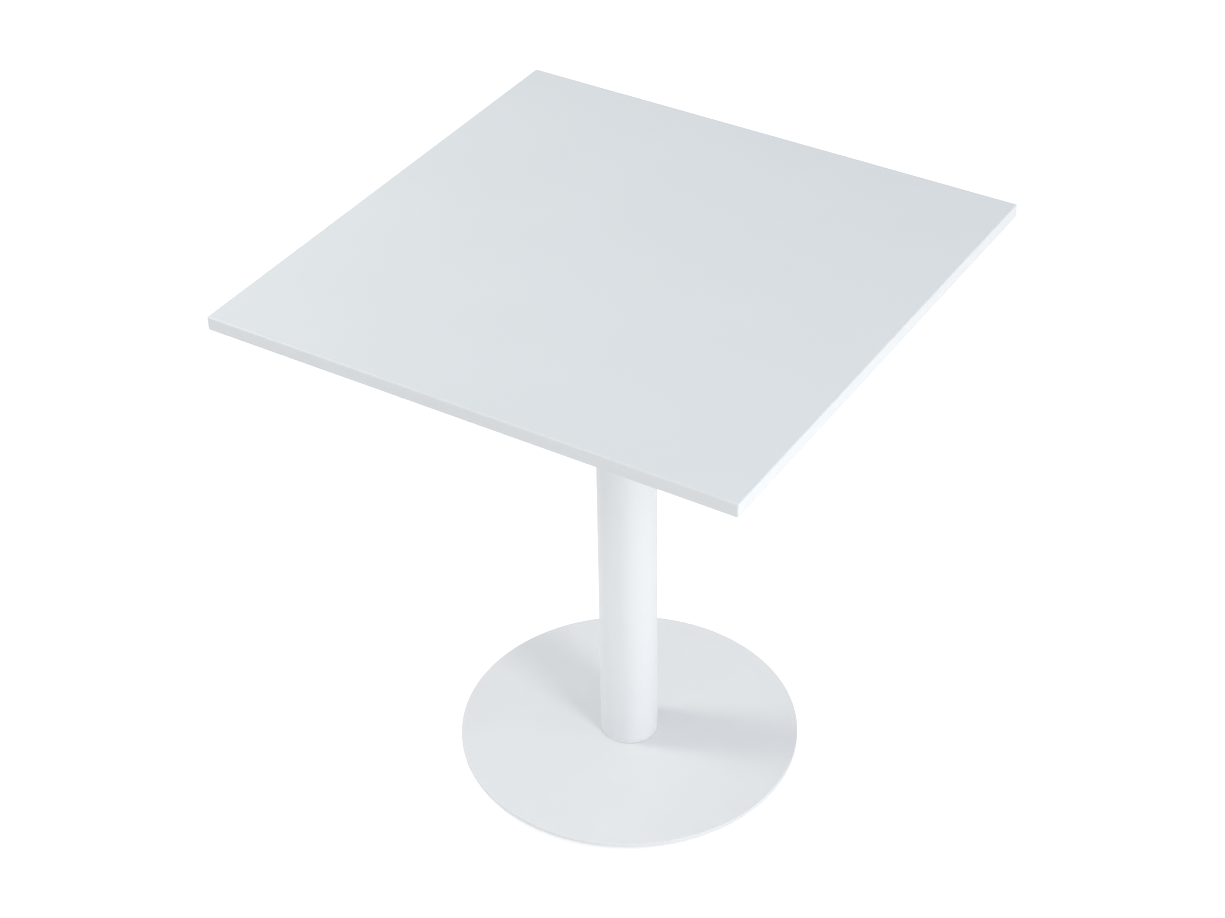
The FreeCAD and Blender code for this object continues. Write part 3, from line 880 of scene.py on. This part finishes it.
def make_white_coat():
    """Satin powder coat: soft orange peel, thinner and duller along the arrises."""
    white = (0.795, 0.820, 0.843)
    material, tree = new_material("satin_white_powder_coat", {"IOR": 1.5})
    cloud = use(tree, "clouds", "Value", Cloud_Size=70 * MM)
    height = use(tree, "grain", "Height", Lump_Size=1.3 * MM, Fineness=0.2)
    speckle = use(tree, "grain", "Speckle", Lump_Size=0.9 * MM)
    arris = use(tree, "edge_wear", "Mask", Width=0.5 * MM, Patch_Size=9 * MM, Amount=0.4)
    lines = use(tree, "hairlines", "Mask", Line_Width=0.3 * MM, Share=0.2)
    dust = use(tree, "dust", "Mask", Speck_Spacing=22 * MM, Speck_Size=0.02, Amount=0.35)
    color = mixed(tree, cloud, shade(white, 0.993), shade(white, 1.007))
    color = mixed(tree, between(tree, speckle, 0.3, 0.7, 0.0, 0.2), color, shade(white, 0.975))
    color = mixed(tree, arris, color, shade(white, 0.93))
    color = mixed(tree, dust, color, (0.5, 0.5, 0.5, 1.0))
    roughness = summed(tree, 0.325, (cloud, 0.05), (arris, 0.15), (lines, 0.1))
    return finish_material(material, color, roughness, height, 14 * MICRON)


def make_zinc_plate():
    """Bright zinc plate: clouded passivation, handling lines and edges rubbed bright."""
    zinc = (0.60, 0.61, 0.63)
    material, tree = new_material("bright_zinc_plate", {"Metallic": 1.0})
    cloud = use(tree, "clouds", "Value", Cloud_Size=5 * MM)
    height = use(tree, "grain", "Height", Lump_Size=0.25 * MM, Fineness=0.5)
    lines = use(tree, "hairlines", "Mask", Line_Width=0.08 * MM, Share=0.8)
    arris = use(tree, "edge_wear", "Mask", Width=0.25 * MM, Patch_Size=1.5 * MM, Amount=0.9)
    color = mixed(tree, cloud, (0.55, 0.57, 0.62, 1.0), (0.63, 0.62, 0.57, 1.0))
    color = mixed(tree, arris, color, shade(zinc, 1.25))
    roughness = summed(tree, 0.27, (cloud, 0.14), (lines, 0.15), (arris, -0.08))
    return finish_material(material, color, roughness, height, 4 * MICRON)


def make_black_nylon():
    """Moulded nylon: spark-eroded texture, paler where the edges have rubbed."""
    black = (0.028, 0.028, 0.030)
    material, tree = new_material("moulded_black_nylon", {"IOR": 1.53})
    cloud = use(tree, "clouds", "Value", Cloud_Size=9 * MM)
    height = use(tree, "grain", "Height", Lump_Size=0.3 * MM, Fineness=0.5)
    arris = use(tree, "edge_wear", "Mask", Width=0.4 * MM, Patch_Size=3 * MM, Amount=0.6)
    dust = use(tree, "dust", "Mask", Speck_Spacing=2.5 * MM, Speck_Size=0.12, Amount=0.4)
    color = mixed(tree, cloud, shade(black, 0.8), shade(black, 1.3))
    color = mixed(tree, arris, color, (0.11, 0.11, 0.11, 1.0))
    color = mixed(tree, dust, color, (0.3, 0.29, 0.27, 1.0))
    roughness = summed(tree, 0.42, (cloud, 0.12), (arris, 0.12))
    return finish_material(material, color, roughness, height, 15 * MICRON)


# ------------------------ the top

def make_edging():
    """Four strips cut from one rounded block; front and back cover the ends of the other two."""
    low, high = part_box("edge_band_front")
    half = -low.y
    inner = half - EDGING + SEAM
    end = half - EDGING
    strips = {
        "front": [((0, -inner, 0), (0, 1, 0))],
        "back": [((0, inner, 0), (0, -1, 0))],
        "left": [((-inner, 0, 0), (1, 0, 0)), ((0, end, 0), (0, 1, 0)), ((0, -end, 0), (0, -1, 0))],
        "right": [((inner, 0, 0), (-1, 0, 0)), ((0, end, 0), (0, 1, 0)), ((0, -end, 0), (0, -1, 0))],
    }
    for side, cuts in strips.items():
        bm = slab(half, CORNER, low.z, high.z, ARRIS, ARRIS)
        for point, outward in cuts:
            keep_side(bm, point, outward)
        finish_piece(add_object(f"edging_{side}", bm), f"edge_band_{side}")


def wind(name, node, blank, core, depth, pitch, start, end):
    """A blank with a thread wound on it between two heights."""
    return grow(name, "wound_thread", node, Blank=blank, Core_Radius=core, Thread_Depth=depth,
                Pitch=pitch, Start=start, Turns=(end - start) / pitch)


def make_inserts():
    """Screw-in inserts: a coarse wood thread outside, a plain bore, and a slot to drive them."""
    node = "threaded_inserts"
    low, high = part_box(node)
    length = high.z - low.z
    bore, core, crest, pitch = 3.05 * MM, 4.15 * MM, 4.95 * MM, 2.5 * MM
    edge, lead_in = 0.25 * MM, 0.4 * MM
    slot_reach, slot_half, slot_depth = 6.0 * MM, 0.8 * MM, 1.6 * MM
    outline = rounded([(bore, 0), (core, 0), (core, length), (bore, length)],
                      [edge, edge, lead_in, edge], steps=2)
    sleeve = add_object("sleeve", lathe(outline, 36))
    slot = block((-slot_reach, -slot_half, -MM), (slot_reach, slot_half, slot_depth))
    carve(sleeve, [add_object("slot", slot)])
    insert = wind("insert", node, sleeve, core, crest - core, pitch, 0.6 * pitch, length - 0.6 * pitch)
    inserts = grow("threaded_inserts_set", "copies_on_square", node, Piece=insert, Height=low.z, Seed=3)
    drop(sleeve, insert)
    finish_piece(inserts, node)


# ------------------------ the plate under the top

def make_fixing_plate():
    """Cut plate with eight holes to the top and four countersinks to the column."""
    node = "top_fixing_plate"
    low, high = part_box(node)
    corner, arris, burr, hole = 20.0 * MM, 0.6 * MM, 0.1 * MM, 3.5 * MM
    plate = add_object("fixing_plate", slab(high.x, corner, low.z, high.z, arris, burr))
    rows = (-FIXING_SPACING, 0, FIXING_SPACING)
    cutters = [hole_cutter(hole, low.z, high.z, (across, up))
               for across in rows for up in rows if across or up]
    cutters += [sink_cutter(high.z, low.z, place) for place in ring_places(4, SCREW_RING)]
    carve(plate, cutters)
    finish_piece(plate, node)


def make_washers():
    """Stamped washers, with a rolled edge on the side that the punch met."""
    node = "fixing_plate_washers"
    low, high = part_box(node)
    outer, hole, thick = 9.0 * MM, 3.2 * MM, high.z - low.z
    rolled, burr, edge = 0.45 * MM, 0.12 * MM, 0.1 * MM
    outline = rounded([(hole, 0), (outer, 0), (outer, thick), (hole, thick)],
                      [edge, rolled, burr, edge], steps=3)
    washer = add_object("washer", lathe(outline, 72))
    washers = grow("washers", "copies_on_square", node, Piece=washer, Height=low.z, Seed=5)
    drop(washer)
    finish_piece(washers, node)


def make_fixing_screws():
    """Button head screws with a hexagon socket, heads down."""
    node = "fixing_plate_screws"
    low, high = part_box(node)
    length = high.z - low.z
    head, rim, rim_height, crown = 3.3 * MM, 5.25 * MM, 0.8 * MM, 3.0 * MM
    core, chamfer, relief, run_out = 2.5 * MM, 0.5 * MM, 1.2 * MM, 0.6 * MM
    outline = rounded([
        (0, 0), (crown, 0), (rim, head - rim_height), (rim, head), (core, head),
        (core, length - chamfer), (core - chamfer, length), (0, length),
    ], [0, 4 * MM, 1.4 * MM, 0.15 * MM, 0.2 * MM, 0, 0, 0], steps=4)
    blank = screw_blank(outline, 54, 4.0 * MM, 2.0 * MM)
    screw = wind("button_screw", node, blank, core, M6_DEPTH, M6_PITCH, head + relief, length - run_out)
    screws = grow("fixing_screws", "copies_on_square", node, Piece=screw, Height=low.z, Seed=7)
    drop(blank, screw)
    finish_piece(screws, node)


# ------------------------ the column

def make_column():
    low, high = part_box("column_tube")
    bore, lip = high.x - 2.0 * MM, 0.35 * MM
    outline = rounded([(bore, low.z), (high.x, low.z), (high.x, high.z), (bore, high.z)],
                      [0, lip, lip, 0], steps=3)
    finish_piece(add_object("column", lathe(outline, 160)), "column_tube")


def make_boss_screws():
    """Countersunk socket screws: one set up through the foot, one down through the fixing plate."""
    low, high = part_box("lower_boss_screws")
    length = high.z - low.z
    head, land, core, chamfer = 7.8 * MM, 0.3 * MM, 3.3 * MM, 0.6 * MM
    neck, relief, run_out = head - core + land, 0.8 * MM, 0.7 * MM
    outline = rounded([
        (0, 0), (head, 0), (head, land), (core, neck), (core, length - chamfer),
        (core - chamfer, length), (0, length),
    ], [0, 0.12 * MM, 0, 0.3 * MM, 0, 0, 0], steps=3)
    blank = screw_blank(outline, 60, 5.0 * MM, 2.6 * MM)
    screw = wind("countersunk_screw", "lower_boss_screws", blank, core, M8_DEPTH, M8_PITCH,
                 neck + relief, length - run_out)
    upper_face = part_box("upper_boss_screws")[1].z
    for node, height, tip_over, seed in (("lower_boss_screws", low.z, 0.0, 11),
                                         ("upper_boss_screws", upper_face, TURN / 2, 13)):
        screws = grow(f"{node}_set", "copies_on_ring", node, Piece=screw, Count=4,
                      Ring_Radius=SCREW_RING, Height=height, Tip_Over=tip_over, Seed=seed)
        finish_piece(screws, node)
    drop(blank, screw)


# ------------------------ the foot

def make_foot():
    """Round plate, with countersinks for the column screws and pockets for the glide bushes."""
    low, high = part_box("base_plate")
    arris, pocket, pocket_depth = 0.8 * MM, 8.05 * MM, 4.5 * MM
    edge = rounded([(0, low.z), (high.y, low.z), (high.y, high.z), (0, high.z)],
                   [0, arris, arris, 0], steps=5)[1:-1]
    foot = add_object("foot_plate", lathe(edge, 288, capped=True))
    cutters = [sink_cutter(low.z, high.z, place) for place in ring_places(4, SCREW_RING)]
    cutters += [hole_cutter(pocket, low.z - pocket_depth, low.z + pocket_depth, place, 60, 0.0)
                for place in ring_places(4, GLIDE_RING, GLIDE_START)]
    carve(foot, cutters)
    finish_piece(foot, "base_plate")


def make_bushes():
    """Threaded bushes, each welded round where it leaves the plate."""
    node = "glide_bosses"
    low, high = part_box(node)
    length = high.z - low.z
    bore, outer, lead_in = 4.0 * MM, 8.0 * MM, 0.5 * MM
    bead_out, bead_down = 0.45 * MM, 0.15 * MM
    outline = [(bore + lead_in, 0), (outer - lead_in, 0), (outer, lead_in), (outer, length),
               (bore, length), (bore, lead_in)]
    sleeve = add_object("bush_sleeve", lathe(outline, 60))
    plate_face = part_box("base_plate")[0].z - low.z
    bush = grow("bush", "welded_round", node, Blank=sleeve, Weld_Radius=outer + bead_out,
                Height=plate_face - bead_down, Bead_Size=1.25 * MM, Beads=38, Seed=17)
    bushes = grow("glide_bushes", "copies_on_ring", node, Piece=bush, Count=4, Ring_Radius=GLIDE_RING,
                  Start_Angle=math.radians(GLIDE_START), Height=low.z, Seed=19)
    drop(sleeve, bush)
    finish_piece(bushes, node, sharp_degrees=40)


def make_studs():
    """Levelling studs: a flange held in the pad, a hexagon collar for the spanner, and an M8 thread."""
    low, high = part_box("glide_stud_1")
    pad_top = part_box("glide_pad_1")[1].z
    flange, flange_top, neck, edge = 6.0 * MM, 3.0 * MM, 3.75 * MM, 0.2 * MM
    neck_end, core_start = pad_top + 0.6 * MM, pad_top + 1.2 * MM
    collar_top, across_flats = pad_top + 3.0 * MM, 13.0 * MM
    core, chamfer, run_out = 3.3 * MM, 0.6 * MM, 0.7 * MM
    outline = rounded([
        (0, low.z), (flange, low.z), (flange, flange_top), (neck, flange_top), (neck, neck_end),
        (core, core_start), (core, high.z - chamfer), (core - chamfer, high.z), (0, high.z),
    ], [0, edge, edge, 0, 0, 0, 0, 0, 0], steps=3)
    for number in GLIDES:
        node = f"glide_stud_{number}"
        blank = add_object("stud_blank", lathe(outline, 48))
        combine(blank, "UNION", [chamfered_hexagon(across_flats, pad_top, collar_top)])
        stud = wind(f"levelling_stud_{number}", node, blank, core, M8_DEPTH, M8_PITCH,
                    collar_top + run_out, high.z - run_out)
        move_to(stud, node)
        drop(blank)
        finish_piece(stud, node, body=node)


def make_pads():
    """Nylon pads: a round foot with a ribbed shoulder, hollow for the stud's flange."""
    low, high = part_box("glide_pad_1")
    rim, shoulder, mouth, cavity = 16.0 * MM, 10.0 * MM, 4.05 * MM, 6.3 * MM
    rim_top, cavity_floor, cavity_top = 2.4 * MM, 1.5 * MM, 3.3 * MM
    outline = rounded([
        (0, low.z), (rim, low.z), (rim, rim_top), (shoulder, high.z), (mouth, high.z),
        (mouth, cavity_top), (cavity, cavity_top), (cavity, cavity_floor), (0, cavity_floor),
    ], [0, 0.8 * MM, 0.7 * MM, 0.4 * MM, 0.2 * MM, 0, 0, 0.3 * MM, 0], steps=4)
    for number in GLIDES:
        node = f"glide_pad_{number}"
        blank = add_object("pad_blank", lathe(outline, 96))
        rib = add_object("rib", shoulder_rib(shoulder, rim - 1.5 * MM, rim, rim_top, high.z))
        pad = grow(f"glide_foot_{number}", "ribbed_shoulder", node, Blank=blank, Rib=rib, Count=12)
        move_to(pad, node)
        drop(blank, rib)
        finish_piece(pad, node, body=node)


# ------------------------ the table

def make_table():
    for make_group in (group_grain, group_clouds, group_hairlines, group_edge_wear, group_dust,
                       tree_copies, tree_ring, tree_square, tree_thread, tree_weld, tree_ribs):
        make_group()
    finishes.update({
        "white_laminate": make_white_laminate(),
        "backing_laminate": make_backing_laminate(),
        "white_edging": make_white_edging(),
        "particle_board": make_particle_board(),
        "white_powder_coat": make_white_coat(),
        "zinc_plated_steel": make_zinc_plate(),
        "black_nylon": make_black_nylon(),
    })
    for node, item in frame["nodes"].items():
        dress(item, node)
    for make_piece in (make_edging, make_inserts, make_fixing_plate, make_washers, make_fixing_screws,
                       make_column, make_boss_screws, make_foot, make_bushes, make_studs, make_pads):
        make_piece()


make_camera()
make_studio()
make_table()
